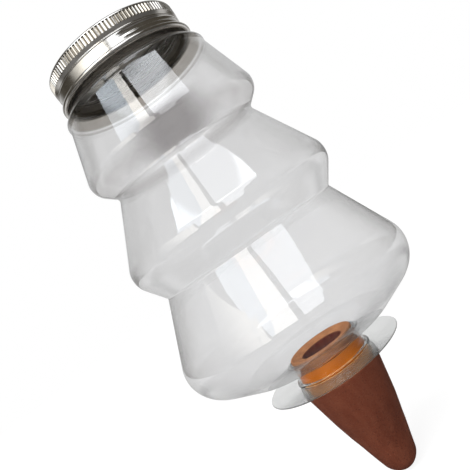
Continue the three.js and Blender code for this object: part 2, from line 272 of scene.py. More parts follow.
def bump(tree, height, strength, distance, under=None):
    """A bump of that depth in metres, on top of another bump's normal if there is one."""
    node = place(tree, "ShaderNodeBump")
    node.inputs["Strength"].default_value = strength
    node.inputs["Distance"].default_value = distance
    connect(tree, height, node.inputs["Height"])
    if under is not None:
        connect(tree, under, node.inputs["Normal"])
    return node.outputs["Normal"]

# %% Helpers that work out a number or a mask
def calculate(tree, operation, first, second=None):
    """One step of arithmetic on a socket; the second value may be a number or a socket."""
    node = place(tree, "ShaderNodeMath", operation=operation)
    connect(tree, first, node.inputs[0])
    if isinstance(second, (int, float)):
        node.inputs[1].default_value = second
    elif second is not None:
        connect(tree, second, node.inputs[1])
    return node.outputs["Value"]


def overlap(tree, first, second):
    """Where two masks meet."""
    return calculate(tree, "MULTIPLY", first, second)


def spread(tree, factor, low, high):
    """A number that goes from low to high as the factor goes from 0 to 1."""
    remap = place(tree, "ShaderNodeMapRange")
    connect(tree, factor, remap.inputs["Value"])
    remap.inputs["To Min"].default_value = low
    remap.inputs["To Max"].default_value = high
    return remap.outputs["Result"]


def soft_rise(tree, value, start, end, first=0, last=1):
    """A number that goes from first to last in a soft S as a value goes from start to end."""
    remap = place(tree, "ShaderNodeMapRange", interpolation_type="SMOOTHSTEP")
    connect(tree, value, remap.inputs["Value"])
    for name, number in (("From Min", start), ("From Max", end), ("To Min", first), ("To Max", last)):
        remap.inputs[name].default_value = number
    return remap.outputs["Result"]


def way_along(tree, coords, direction):
    """How far the coordinates go in a direction."""
    along = place(tree, "ShaderNodeVectorMath", operation="DOT_PRODUCT")
    along.inputs[1].default_value = direction
    connect(tree, coords, along.inputs[0])
    return along.outputs["Value"]


def way_out(tree, coords):
    """How far the coordinates are from the origin."""
    length = place(tree, "ShaderNodeVectorMath", operation="LENGTH")
    connect(tree, coords, length.inputs[0])
    return length.outputs["Value"]


def axis_distance(tree, coords, low, high):
    """A mask that is 0 within low of the axis and 1 from high on, in millimetres."""
    from_axis = way_out(tree, stretched(tree, coords, (1, 1, 0)))
    return soft_rise(tree, from_axis, low * MM, high * MM)


def band(tree, coords, direction, middle, half_width, full_width=0):
    """A mask that is 1 up to full_width from a plane and 0 from half_width on, in millimetres."""
    past_middle = calculate(tree, "SUBTRACT", way_along(tree, coords, direction), middle * MM)
    away = calculate(tree, "ABSOLUTE", past_middle)
    return soft_rise(tree, away, full_width * MM, half_width * MM, 1, 0)


def height_band(tree, coords, middle, half_width, full_width=0):
    """The same for a level plane at a height."""
    return band(tree, coords, (0, 0, 1), middle, half_width, full_width)

# %% [markdown]
# ## Clear plastic of the bottle
# The bottle is blown from a clear preform. It is not quite colourless: every wall takes a little light,
# so the middle of the bottle looks pale grey on white. An absorbing volume could do that, but Base Color
# tints each wall once and is simpler to set. On top of that tint, shade is painted into the colour: a
# darker ring at the upper waist is painted shade, a darker patch on the near side there is a painted
# dark reflection, and a band at the root of the neck and a fine line at the shoulder are painted shade.
# It is taken to be thicker plastic, which is a guess: the patch may be a dark room that the bottle
# mirrors. A soft mask varies the haze, and a long, very shallow bump gives the ripple that makes blown
# plastic shimmer.

# %% Tint the bottle's plastic and paint shade into it
# The constants below place a painted dark reflection, called the smoky patch, on the near side of the
# upper waist.
PAINTED_DARK_ANGLE = math.radians(3)  # where the smoky patch stands, turned from the side towards -Y
PAINTED_DARK_NEAR = 5
PAINTED_DARK_FAR = 22
PAINTED_DARK_HALF_REACH = 10

bottle_plastic, tree, shader, coords = new_material("clear_bottle")
haze = mask(tree, coords, 28, 0.3, 0.7)
thin_wall = blend_colours(tree, haze, (0.905, 0.905, 0.908), (0.885, 0.885, 0.889))
# Painted shade: a darker ring round the upper waist.
waist_ring = height_band(tree, coords, 126, 7)
shaded_waist_ring = blend_colours(tree, waist_ring, thin_wall, (0.72, 0.71, 0.71))
# Painted dark reflection: a darker patch on the near half only, at the upper waist.
beside = (math.cos(PAINTED_DARK_ANGLE), math.sin(PAINTED_DARK_ANGLE), 0)
painted_dark_slab = band(tree, coords, beside, 0, PAINTED_DARK_FAR, PAINTED_DARK_NEAR)
towards_back = way_along(tree, coords, (0, 1, 0))
painted_dark_half = soft_rise(tree, towards_back, -PAINTED_DARK_HALF_REACH * MM, PAINTED_DARK_HALF_REACH * MM, 1, 0)
painted_dark_side = overlap(tree, painted_dark_slab, painted_dark_half)
painted_dark_patch = overlap(tree, height_band(tree, coords, 127, 11, 5), painted_dark_side)
with_painted_dark = blend_colours(tree, painted_dark_patch, shaded_waist_ring, (0.4, 0.384, 0.384))
# Painted shade: a darker band at the root of the neck, under the lid's curl.
neck_root = height_band(tree, coords, 165.6, 4.4, 3.2)
shaded_neck_root = blend_colours(tree, neck_root, with_painted_dark, (0.42, 0.4, 0.37))
# Painted shade: a fine dark line at the bend of the shoulder.
shoulder_line = height_band(tree, coords, 160.6, 0.9, 0.3)
shaded_bottle_tint = blend_colours(tree, shoulder_line, shaded_neck_root, (0.62, 0.61, 0.6))
connect(tree, shaded_bottle_tint, shader.inputs["Base Color"])
print("bottle tint has", len(tree.nodes), "nodes")

# %% Give the bottle's plastic its gloss and ripple
SLOPE_HAZE = 0.06  # more roughness on the slope from the shoulder to the neck
RIPPLE_DEPTH = 0.0002

smear = mask(tree, stretched(tree, coords, (1, 1, 0.35)), 90, 0.4, 0.75)
on_slope = height_band(tree, coords, 164.6, 4.0, 3.0)
hazy_slope = calculate(tree, "MULTIPLY", on_slope, SLOPE_HAZE)
roughness = calculate(tree, "ADD", hazy_slope, spread(tree, smear, 0.01, 0.03))
connect(tree, roughness, shader.inputs["Roughness"])
wave = mask(tree, stretched(tree, coords, (1, 1, 0.5)), 30, 0.0, 1.0, 0.0)
connect(tree, bump(tree, wave, 1.0, RIPPLE_DEPTH), shader.inputs["Normal"])
shader.inputs["Transmission Weight"].default_value = 1
shader.inputs["IOR"].default_value = 1.575
print("bottle plastic has", len(tree.nodes), "nodes")

# %% [markdown]
# ## Clear plastic of the spout
# The spout looks clearer than the bottle in the photograph, and its flange a little milky. Both
# finishes are close kin, so one function makes them, and the mesh of the spout has the second one on
# the faces of the flange.

# %% Make the two plastics of the spout
def spout_finish(name, patch_scale, first, second, rough_scale, least_rough, most_rough, clear):
    """A clear plastic with two tints in patches, its range of roughness and its share of clear light."""
    material, tree, shader, coords = new_material(name)
    patches = mask(tree, coords, patch_scale, 0.3, 0.7)
    connect(tree, blend_colours(tree, patches, first, second), shader.inputs["Base Color"])
    gloss = mask(tree, coords, rough_scale) if rough_scale else patches
    connect(tree, spread(tree, gloss, least_rough, most_rough), shader.inputs["Roughness"])
    ripple = mask(tree, coords, 40, 0, 1, 0)
    connect(tree, bump(tree, ripple, 1.0, RIPPLE_DEPTH), shader.inputs["Normal"])
    shader.inputs["Transmission Weight"].default_value = clear
    shader.inputs["IOR"].default_value = 1.5
    return material


spout_plastic = spout_finish(
    "clear_spout", 60, (0.96, 0.967, 0.962), (0.94, 0.95, 0.943), 120, 0.01, 0.06, 1
)
flange_plastic = spout_finish(
    "milky_flange", 90, (0.8, 0.808, 0.804), (0.76, 0.768, 0.764), None, 0.03, 0.08, 0.97
)
print("spout plastics", spout_plastic.name, flange_plastic.name)

# %% [markdown]
# ## Bottle
# The mould has two halves, so a fine parting line runs up both sides. The skin is turned from the
# outline of the outside. Cuts beside the parting plane give the line its width before the wall gets
# its thickness. Last, the screw thread of the neck is pushed out of the outer wall, which keeps the wall
# in one piece, where a separate coil would show a seam inside clear plastic.

# %% Turn the bottle
NECK_RADIUS = 32.0
NECK_ROOT = 167.2
NECK_TOP = 179.5
NECK_CUTS = 40
BOTTLE_CORNERS = [
    (18.6, 8.1, 0), (39.8, 12.6, 6.0), (65.8, 26.3, 15.7), (46.2, 69.8, 1.0), (56.5, 84.6, 10.8),
    (37.5, 121.0, 3.0), (47.2, 129.3, 7.0), (38.45, 157.9, 1.5), (38.75, 160.6, 1.5),
    (NECK_RADIUS, NECK_ROOT, 1.5), (NECK_RADIUS, NECK_TOP, 0),
]
PARTING_ANGLE = math.radians(-18)  # the parting plane, turned from the plane through +Y
PARTING_WIDTH = 0.5
PARTING_RISE = 0.04
PARTING_LEAST_RADIUS = 40  # the line shows on the tiers only
ON_PLANE = 1e-6

bottle_bm = bmesh.new()
draw_outline(bottle_bm, BOTTLE_CORNERS)
divide_longest(bottle_bm, NECK_ROOT, NECK_TOP, NECK_CUTS)
turn(bottle_bm)
across = Vector((math.cos(PARTING_ANGLE), math.sin(PARTING_ANGLE), 0))
for offset in (-PARTING_WIDTH, -PARTING_WIDTH / 2, 0, PARTING_WIDTH / 2, PARTING_WIDTH):
    everything = bottle_bm.verts[:] + bottle_bm.edges[:] + bottle_bm.faces[:]
    bmesh.ops.bisect_plane(
        bottle_bm, geom=everything, plane_co=across * offset * MM, plane_no=across, dist=ON_PLANE
    )
for vert in bottle_bm.verts:
    below_neck = vert.co.z < NECK_ROOT * MM
    on_tier = vert.co.xy.length > PARTING_LEAST_RADIUS * MM
    if abs(vert.co.dot(across)) < ON_PLANE and below_neck and on_tier:
        push_out(vert, PARTING_RISE * MM)
print("bottle skin", len(bottle_bm.verts), "points")

# %% Give the bottle its wall and its thread
BOTTLE_WALL = 0.4
THREAD_PITCH = 4.0
THREAD_START = 172.6
THREAD_TURNS = 1.25
THREAD_HEIGHT = 1.0
THREAD_HALF_WIDTH = 1.0
THREAD_CREST_SHARE = 0.35  # share of the half width that stands at full height
THREAD_FADE = math.radians(20)
THREAD_LOW = NECK_ROOT + 0.5
THREAD_HIGH = NECK_TOP - 0.2
OUTER_NECK = NECK_RADIUS - 0.1


def thread_share(vert, start_angle, start_height, turns, half_width):
    """How much of the thread stands at a vertex, from 0 to 1, with all its windings."""
    share = 0
    crest = half_width * THREAD_CREST_SHARE
    for winding in range(math.ceil(turns) + 1):
        angle = (around(vert) - start_angle) % (2 * math.pi) + 2 * math.pi * winding
        end = turns * 2 * math.pi - angle
        fade = smooth_step(0, THREAD_FADE, angle) * smooth_step(0, THREAD_FADE, end)
        height = start_height + THREAD_PITCH * angle / (2 * math.pi)
        away = abs(vert.co.z / MM - height)
        share = max(share, fade * (1 - smooth_step(crest, half_width, away)))
    return share


bmesh.ops.recalc_face_normals(bottle_bm, faces=bottle_bm.faces[:])
bmesh.ops.solidify(bottle_bm, geom=bottle_bm.faces[:], thickness=BOTTLE_WALL * MM)
for vert in bottle_bm.verts:
    on_neck = THREAD_LOW < vert.co.z / MM < THREAD_HIGH
    if on_neck and vert.co.xy.length > OUTER_NECK * MM:
        share = thread_share(vert, 0, THREAD_START, THREAD_TURNS, THREAD_HALF_WIDTH)
        push_out(vert, THREAD_HEIGHT * MM * share)
bottle = finish_piece(bottle_bm, "bottle_shell", "bottle", "bottle", "clear_bottle", bottle_plastic)

# %% [markdown]
# ## Spout and flange
# The spout is a tube that goes up through the floor of the bottle, with a ledge under the floor, a bead
# above the flange and another round its mouth. The flange is a thin sheet, a little dished. The section
# is a closed loop, out along one side of the sheet and back along the other, so the spin gives a wall
# at once and nothing has to be thickened.

# %% Turn the spout
FLANGE_START = 20.6
FLANGE_TOP = 1.2
SPOUT_CORNERS = [
    (20.4, -4.6, 0.6), (20.4, -3.3, 0.6), (19.6, -3.0, 0.2), (19.6, -1.0, 0.5), (35.5, 0.1, 0.16),
    (35.5, 0.45, 0.16), (20.2, -0.1, 0.2), (20.0, 0.9, 0.6), (18.8, 1.1, 0.2), (18.45, 6.2, 0.3),
    (20.3, 6.2, 0.8), (20.3, 7.9, 0.8), (18.3, 7.9, 0.3), (18.3, 9.1, 0.35), (17.4, 9.1, 0.35),
    (17.75, 3.5, 1.0), (18.4, -1.3, 1.0), (19.0, -4.6, 0.35),
]

spout_bm = bmesh.new()
draw_outline(spout_bm, SPOUT_CORNERS, closed=True)
turn(spout_bm)
for face in spout_bm.faces:
    middle = face.calc_center_median() / MM
    if middle.xy.length > FLANGE_START and middle.z < FLANGE_TOP:
        face.material_index = 1
spout = finish_piece(
    spout_bm, "spout_and_flange", "bottle", "spout_collar", "clear_collar",
    spout_plastic, flange_plastic,
)

# %% [markdown]
# ## Amber seal
# A soft ring of amber rubber sits in a groove of the plug and closes the gap to the spout. It is
# fullest at its foot and thins upwards, so that it pushes in easily. Light that scatters inside the
# rubber could be added, but a plain colour in two depths is close enough here. A fine bump breaks the
# gloss.

# %% Make the amber rubber and the seal
SEAL_CORNERS = [
    (16.9, -0.6, 0.4), (18.0, -0.6, 0.5), (17.66, 1.4, 3.0), (17.35, 4.9, 2.0), (17.2, 6.4, 0.5),
    (16.45, 6.4, 0.4), (16.55, 4.0, 0.3),
]

amber, tree, shader, coords = new_material("amber_seal")
patches = mask(tree, coords, 110, 0.3, 0.7)
amber_colour = blend_colours(tree, patches, (0.60, 0.158, 0.008), (0.52, 0.134, 0.006))
connect(tree, amber_colour, shader.inputs["Base Color"])
connect(tree, spread(tree, mask(tree, coords, 600), 0.4, 0.5), shader.inputs["Roughness"])
connect(tree, bump(tree, mask(tree, coords, 900), 0.2, 0.00003), shader.inputs["Normal"])
shader.inputs["Specular IOR Level"].default_value = 0.15

seal_bm = bmesh.new()
draw_outline(seal_bm, SEAL_CORNERS, closed=True)
turn(seal_bm)
finish_piece(seal_bm, "amber_seal", "spike", "seal_ring", "amber_seal", amber)

# %% [markdown]
# ## Terracotta
# The spike is cast from red-brown clay and left unglazed, so that water seeps through it. Close up it
# has darker patches, fine pits and grains, and faint streaks down its length; the pits are also painted
# darker, as painted shade. The plug is painted paler than the body, as painted light on its rim, and the
# bore is painted darker, as painted shade in the hole. The ring under the seal is painted paler still
# than clay is, as painted light, because it shows through the spout, so it looks too yellow when the
# bottle is lifted off. The patches and grains come from the shared mask, and the pits are the small
# cells of a
# Voronoi texture.

# %% Colour the terracotta
clay, tree, shader, coords = new_material("terracotta")
patches = mask(tree, coords, 55, 0.3, 0.7)
streaks = mask(tree, stretched(tree, coords, (1, 1, 0.12)), 240, 0.35, 0.7)
grains = mask(tree, coords, 1500, 0.45, 0.75, 2.0)
damp = blend_colours(tree, patches, (0.155, 0.04, 0.02), (0.115, 0.028, 0.014))
plug_height = height_band(tree, coords, 3, 8.0, 7.4)
# Painted shade: the bore is darker inside the plug.
shaded_bore = blend_colours(tree, plug_height, damp, (0.09, 0.008, 0.003))
plug_only = overlap(tree, plug_height, axis_distance(tree, coords, 10.8, 11.6))
under_seal = height_band(tree, coords, -2.9, 2.4, 1.8)
# Painted light: the plug is paler for its lit rim, and the ring under the seal paler still, to make up
# for the light it loses behind the spout.
painted_light_plug = blend_colours(tree, under_seal, (0.56, 0.245, 0.1), (0.98, 0.54, 0.2))
base = blend_colours(tree, plug_only, shaded_bore, painted_light_plug)
streaked = blend_colours(tree, spread(tree, streaks, 0, 0.35), base, (0.2, 0.062, 0.033))
grained = blend_colours(tree, spread(tree, grains, 0, 0.3), streaked, (0.23, 0.085, 0.05))
print("terracotta colour has", len(tree.nodes), "nodes")

# %% Pit the terracotta
PITS_PER_METRE = 700

cells = place(tree, "ShaderNodeTexVoronoi", feature="F1")
cells.inputs["Scale"].default_value = PITS_PER_METRE
connect(tree, coords, cells.inputs["Vector"])
pits = soft_rise(tree, cells.outputs["Distance"], 0.05, 0.3)
# Painted shade: the pits are darker in colour as well as dented.
pit_shaded = blend_colours(tree, spread(tree, pits, 0.55, 0), grained, (0.05, 0.015, 0.01))
connect(tree, pit_shaded, shader.inputs["Base Color"])
connect(tree, spread(tree, grains, 0.8, 0.95), shader.inputs["Roughness"])
rough = bump(tree, grains, 0.5, 0.0002)
connect(tree, bump(tree, pits, 0.6, 0.0003, rough), shader.inputs["Normal"])
shader.inputs["Specular IOR Level"].default_value = 0.12
print("terracotta has", len(tree.nodes), "nodes")

# %% [markdown]
# ## Clay spike
# The spike is a hollow cone with a blunt tip, a shoulder that butts against the spout and a plug with
# the groove for the seal. Its outline could be left a true turned shape, but it is cast and never quite
# true, so a slow noise pushes its skin in and out by a tenth of a millimetre or two.

# %% Turn the spike
SPIKE_STEPS = 120
SPIKE_TIP = -61.3
SPIKE_BELLY = -26.4
SPIKE_CORNERS = [
    (0, SPIKE_TIP, 0), (7.04, SPIKE_TIP, 9.2), (16.5, SPIKE_BELLY, 30.0), (20.9, -4.9, 0.8),
    (18.6, -4.9, 0.3), (18.0, -0.9, 0.3), (17.0, -0.9, 0.2), (16.4, 6.7, 0.2), (17.2, 6.7, 0.3),
    (17.0, 10.5, 0.6), (15.8, 10.5, 0.5), (10.7, 8.4, 0.6), (5.0, -42.0, 2.0), (4.0, -47.0, 2.5),
    (0, -47.0, 0),
]
LOWER_CONE = (SPIKE_TIP, -26.0)
UPPER_CONE = (-27.0, -4.8)
CLAY_WAVE = 0.15
WAVES_PER_METRE = 160
CLAY_WAVE_TOP = -6  # the plug and the shoulder above this height stay true
AXIS_REACH = 1

spike_bm = bmesh.new()
draw_outline(spike_bm, SPIKE_CORNERS)
divide_longest(spike_bm, *LOWER_CONE, 24)
divide_longest(spike_bm, *UPPER_CONE, 14)
turn(spike_bm, SPIKE_STEPS)
for vert in spike_bm.verts:
    off_axis = vert.co.xy.length > AXIS_REACH * MM
    if off_axis and vert.co.z < CLAY_WAVE_TOP * MM:
        push_out(vert, CLAY_WAVE * MM * noise.noise(vert.co * WAVES_PER_METRE))
finish_piece(spike_bm, "clay_spike", "spike", "spike", "terracotta", clay)

# %% [markdown]
# ## Lid metal
# The lid is pressed and rolled from bright sheet metal, with fine lines round the skirt and a haze. The
# gaps in the knurl are painted darker, which is painted shade. The inside is taken to be a brownish
# lacquer and the liner a grey ring of soft plastic, because little of either can be seen. Lines and haze
# come from the shared mask, drawn out flat for the lines.

# %% Make the lid's metal
# Painted shade: the knurl's gaps, nearer the axis than these radii, are darker.
GAP_SHADE_NEAR = 33.9
GAP_SHADE_FAR = 34.3

bright, tree, shader, coords = new_material("lid_metal")
haze = mask(tree, coords, 180, 0.35, 0.7)
lines = mask(tree, stretched(tree, coords, (0.15, 0.15, 6)), 420, 0.3, 0.7, 2.0)
polished = blend_colours(tree, haze, (0.72, 0.70, 0.67), (0.6, 0.58, 0.55))
grip_band = height_band(tree, coords, 178.6, 2.4, 2.1)
in_gap = spread(tree, axis_distance(tree, coords, GAP_SHADE_NEAR, GAP_SHADE_FAR), 1, 0)
# Painted shade in the gaps of the knurl.
gap_shaded = blend_colours(tree, overlap(tree, grip_band, in_gap), polished, (0.3, 0.28, 0.245))
connect(tree, gap_shaded, shader.inputs["Base Color"])
connect(tree, spread(tree, lines, 0.15, 0.22), shader.inputs["Roughness"])
connect(tree, bump(tree, lines, 0.12, 0.00003), shader.inputs["Normal"])
shader.inputs["Metallic"].default_value = 1
print("lid metal", bright.name, "has", len(tree.nodes), "nodes")

# %% Make the lacquer inside the lid, and the liner
lacquer, tree, shader, coords = new_material("lid_lacquer")
cloudy = mask(tree, coords, 130, 0.3, 0.7)
panel = blend_colours(tree, cloudy, (0.6, 0.57, 0.52), (0.42, 0.395, 0.355))
inner_skirt = blend_colours(tree, height_band(tree, coords, 168, 7), panel, (0.55, 0.5, 0.43))
connect(tree, inner_skirt, shader.inputs["Base Color"])
connect(tree, spread(tree, cloudy, 0.36, 0.42), shader.inputs["Roughness"])

liner, tree, shader, coords = new_material("lid_liner")
specks = mask(tree, coords, 700, 0.5, 0.75)
speckled = blend_colours(tree, specks, (0.36, 0.35, 0.33), (0.28, 0.27, 0.26))
connect(tree, speckled, shader.inputs["Base Color"])
connect(tree, spread(tree, specks, 0.45, 0.65), shader.inputs["Roughness"])
connect(tree, bump(tree, mask(tree, coords, 400), 0.3, 0.00005), shader.inputs["Normal"])
print("inside the lid", lacquer.name, liner.name)

# %% [markdown]
# ## Lid
# The skin of the lid is turned from its outside: a panel with a raised edge, a grip band, a thin bead,
# a skirt and a rolled curl. The spin's steps are a whole number of teeth, so every third column of
# points on the band can be pushed in to make the knurl. The rolled thread is pushed into the skirt in
# the same way, and then the sheet gets its thickness. Its rounds have fewer steps than the bottle's,
# because metal isn't looked through and the many columns already make a large mesh.

# %% Turn the lid
GRIP_TEETH = 120
STEPS_PER_TOOTH = 3
LID_ROUND_SEGMENTS = 8
LID_GROOVE_CUTS = 22
GRIP_RADIUS = 34.4
SKIRT_RADIUS = 34.05
SKIRT_TOP = 173.8
SKIRT_FOOT = 169.4
LID_CORNERS = [
    (0, 181.3, 0), (25.4, 181.3, 0.6), (26.6, 181.8, 0.6), (GRIP_RADIUS, 181.8, 1.0),
    (GRIP_RADIUS, 180.6, 0), (GRIP_RADIUS, 176.8, 0), (GRIP_RADIUS, 176.4, 0.15),
    (33.45, 174.8, 0.2), (34.35, 174.3, 0.3), (SKIRT_RADIUS, SKIRT_TOP, 0.3),
    (SKIRT_RADIUS, 169.1, 0.4), (36.0, 168.95, 1.15), (36.0, 166.5, 1.2), (33.7, 166.5, 1.1),
    (33.7, 167.8, 0),
]

lid_bm = bmesh.new()
draw_outline(lid_bm, LID_CORNERS, segments=LID_ROUND_SEGMENTS)
divide_longest(lid_bm, SKIRT_FOOT, SKIRT_TOP, LID_GROOVE_CUTS)
turn(lid_bm, GRIP_TEETH * STEPS_PER_TOOTH)
print("lid skin", len(lid_bm.verts), "points")

# %% Press the knurl and the thread into the lid
LID_SHEET = 0.4
TOOTH_DEPTH = 0.7
KNURL_LOW = 176.7
KNURL_HIGH = 180.7
KNURL_LEAST_RADIUS = 34.2
LID_GROOVE_START_ANGLE = math.radians(-88)
LID_GROOVE_START = 171.9
LID_GROOVE_TURNS = 0.7
LID_GROOVE_DEPTH = 0.35
LID_GROOVE_HALF_WIDTH = 1.5
LID_GROOVE_HIGH = 173.6
LID_GROOVE_LEAST_RADIUS = 33.8

tooth_step = 2 * math.pi / (GRIP_TEETH * STEPS_PER_TOOTH)
for vert in lid_bm.verts:
    height = vert.co.z / MM
    radius = vert.co.xy.length / MM
    column = round(around(vert) / tooth_step)
    on_band = KNURL_LOW < height < KNURL_HIGH and radius > KNURL_LEAST_RADIUS
    on_skirt = SKIRT_FOOT < height < LID_GROOVE_HIGH and radius > LID_GROOVE_LEAST_RADIUS
    if on_band and column % STEPS_PER_TOOTH == 0:
        push_out(vert, -TOOTH_DEPTH * MM)
    if on_skirt:
        groove = thread_share(
            vert, LID_GROOVE_START_ANGLE, LID_GROOVE_START, LID_GROOVE_TURNS, LID_GROOVE_HALF_WIDTH
        )
        push_out(vert, -LID_GROOVE_DEPTH * MM * groove)
bmesh.ops.recalc_face_normals(lid_bm, faces=lid_bm.faces[:])
outside_faces = len(lid_bm.faces)
bmesh.ops.solidify(lid_bm, geom=lid_bm.faces[:], thickness=LID_SHEET * MM)
lid_bm.faces.ensure_lookup_table()
for face in lid_bm.faces[outside_faces:]:
    face.material_index = 1
finish_piece(lid_bm, "screw_lid", "lid", "lid_shell", "lid_metal", bright, lacquer)

# %% [markdown]
# ## Liner ring
# A flat ring of soft plastic lies inside the lid and seals on the rim of the neck. Only a little of it
# shows, through the bottle. It is a closed outline with small rounds, turned like the rest.

# %% Turn the liner ring
LINER_CORNERS = [
    (28.6, 179.85, 0.3), (30.2, 179.95, 0.4), (33.0, 179.95, 0.3), (33.0, 180.75, 0.3),
    (28.6, 180.75, 0.3),
]

liner_bm = bmesh.new()
draw_outline(liner_bm, LINER_CORNERS, closed=True)
turn(liner_bm)
finish_piece(liner_bm, "lid_liner", "gasket", "lid_gasket", "lid_liner", liner)

# %% [markdown]
# ## Window
# A clear bottle is drawn by what it mirrors and by what stands behind it. In front of it is a dim brown
# room with one large window, and the panes make the tall white highlights. An area lamp would light the
# clay too and has a plain outline, so the panes are cards that shine, seen by mirroring surfaces only.
# Their edges are given as angles seen from the object, and were fitted to the highlights in the
# photograph, so the real window is a guess. Each card is cut into columns so that it follows a sphere.

# %% Give the panes their outlines
WINDOW_TARGET = Vector((0, 0, 0.09))
WINDOW_DISTANCE = 1.1
# Each row of a pane has an elevation and the azimuths of its two edges, in degrees
PANE_ROWS = {
    "pane_right": (
        (13, 2.2, 21), (30, 2.2, 26), (34.5, 2, 30), (38, 1.6, 42), (40, 1, 49), (44, -1.6, 52),
        (49, -4, 57), (52, -5, 61), (55, -6, 59), (58.5, -7, 51), (65, -10, 47),
    ),
    "pane_middle": (
        (13, -26, -4.2), (38, -26, -4.8), (44, -26, -8), (49, -26, -10.4), (55, -26, -12.4),
        (65, -28, -17),
    ),
    "pane_left": (
        (13, -29, -26), (30, -33, -26), (33, -35, -26), (34, -47, -26), (36, -54, -26),
        (39.5, -59, -26), (49, -64, -26), (52, -62, -26), (55, -56, -26), (58.5, -48, -26),
        (65, -44, -28),
    ),
}
PANE_COLOURS = {
    "pane_right": (0.95, 0.98, 1.02),
    "pane_middle": (1.35, 1.32, 1.26),
    "pane_left": (0.8, 0.87, 0.94),
}
WALL_ROWS = ((6, -80, -30), (34, -78, -36))
WALL_COLOUR = (1.0, 0.97, 0.9)
print("window panes", len(PANE_ROWS))

# %% Helpers that hang a shining card
CARD_COLUMNS = 12


def toward(azimuth, elevation):
    """Unit direction from the object, with azimuth 0 towards -Y and positive towards +X."""
    turned, raised = math.radians(azimuth), math.radians(elevation)
    return Vector((
        math.sin(turned) * math.cos(raised), -math.cos(turned) * math.cos(raised), math.sin(raised),
    ))


def hang_card(name, rows, colour):
    """A shining card with one row of points per elevation. Gives its tree, shader and coordinates."""
    bm = bmesh.new()
    bmesh.ops.create_grid(bm, x_segments=CARD_COLUMNS, y_segments=len(rows) - 1, size=1)
    for vert in bm.verts:
        elevation, left_edge, right_edge = rows[round((vert.co.y + 1) / 2 * (len(rows) - 1))]
        azimuth = left_edge + (right_edge - left_edge) * (vert.co.x + 1) / 2
        vert.co = WINDOW_TARGET + toward(azimuth, elevation) * WINDOW_DISTANCE
    mesh = bpy.data.meshes.new(name)
    bm.to_mesh(mesh)
    bm.free()
    card = bpy.data.objects.new(name, mesh)
    card.visible_camera = False
    card.visible_diffuse = False
    card.visible_shadow = False
    scene.collection.objects.link(card)
    material = bpy.data.materials.new(name)
    material.use_nodes = True
    tree = material.node_tree
    tree.nodes.clear()
    shine = place(tree, "ShaderNodeEmission")
    shine.inputs["Color"].default_value = (*colour, 1)
    surface = place(tree, "ShaderNodeOutputMaterial")
    connect(tree, shine.outputs["Emission"], surface.inputs["Surface"])
    mesh.materials.append(material)
    return tree, shine, place(tree, "ShaderNodeTexCoord").outputs["Object"]

# %% Hang the panes and the pale wall beside them
PANE_LEAST = 2.4
PANE_MOST = 4.6
PANE_BRIGHT_HEIGHT = 945
PANE_BRIGHT_REACH = 18  # the panes shine most this far above and below that height
PANE_FADE_REACH = 48  # and least from here on
PANE_TOP_HEIGHT = 1100  # round this height, where the middle tier mirrors them, they are dimmer
PANE_TOP_REACH = 100
PANE_TOP_FADE_REACH = 135
PANE_TOP_SHARE = 0.82
WALL_MOST = 2.2
WALL_DARK_X = -1.06
WALL_BRIGHT_X = -0.6

for name, rows in PANE_ROWS.items():
    tree, shine, coords = hang_card(name, rows, PANE_COLOURS[name])
    shining = height_band(tree, coords, PANE_BRIGHT_HEIGHT, PANE_FADE_REACH, PANE_BRIGHT_REACH)
    strength = spread(tree, shining, PANE_LEAST, PANE_MOST)
    at_top = height_band(tree, coords, PANE_TOP_HEIGHT, PANE_TOP_FADE_REACH, PANE_TOP_REACH)
    dimmed = overlap(tree, strength, spread(tree, at_top, 1, PANE_TOP_SHARE))
    connect(tree, dimmed, shine.inputs["Strength"])
tree, shine, coords = hang_card("pale_wall", WALL_ROWS, WALL_COLOUR)
sideways = way_along(tree, coords, (1, 0, 0))
wall_shine = soft_rise(tree, sideways, WALL_DARK_X, WALL_BRIGHT_X, 0, WALL_MOST)
connect(tree, wall_shine, shine.inputs["Strength"])
print("cards hang at", WINDOW_DISTANCE, "m")

# %% [markdown]
# ## Key lamp
# The cards don't light the clay, the seal and the lid's inside, so one soft lamp does, from the same
# side as the window. It is left out of mirrors, which show the cards instead. Clear plastic throws next
# to no shadow, but the renderer would give it a dark one, so bottle and spout throw none.

# %% Light the solid pieces from the same side
KEY_POWER = 13
KEY_WIDTH = 0.9
KEY_HEIGHT = 0.7
KEY_AZIMUTH = -30
KEY_ELEVATION = 42

key_data = bpy.data.lights.new("soft_key", "AREA")
key_data.shape = "RECTANGLE"
key_data.size = KEY_WIDTH
key_data.size_y = KEY_HEIGHT
key_data.energy = KEY_POWER
key = bpy.data.objects.new("soft_key", key_data)
from_object = toward(KEY_AZIMUTH, KEY_ELEVATION)
key_place = Matrix.Translation(WINDOW_TARGET + from_object * WINDOW_DISTANCE)
key.matrix_world = key_place @ from_object.to_track_quat("Z", "Y").to_matrix().to_4x4()
key.visible_glossy = False
key.visible_transmission = False
scene.collection.objects.link(key)
bottle.visible_shadow = False
spout.visible_shadow = False
print("key lamp of", KEY_POWER, "watts")

# %% [markdown]
# ## Backdrop
# The backdrop is white wherever the camera looks, also through the clear plastic. What a surface
# mirrors is pale behind the object and fades to the dim room in front of it. Light Path tells the two
# apart: a path that was never mirrored or scattered is a straight view. One helper makes the fade, and
# the world and the floor both use it.

# %% Helpers that tell what a path sees
HALF_A_BOUNCE = 0.5  # between no bounce and one bounce
DIM_ROOM = (0.075, 0.066, 0.052)
PALE_ROOM = (0.62, 0.62, 0.62)


def fade_to_room(tree, coords, direction, front, back, front_colour=DIM_ROOM):
    """The dim colour in front and the pale one behind, by how far the coordinates go in a direction."""
    behind = soft_rise(tree, way_along(tree, coords, direction), front, back)
    return blend_colours(tree, behind, front_colour, PALE_ROOM)


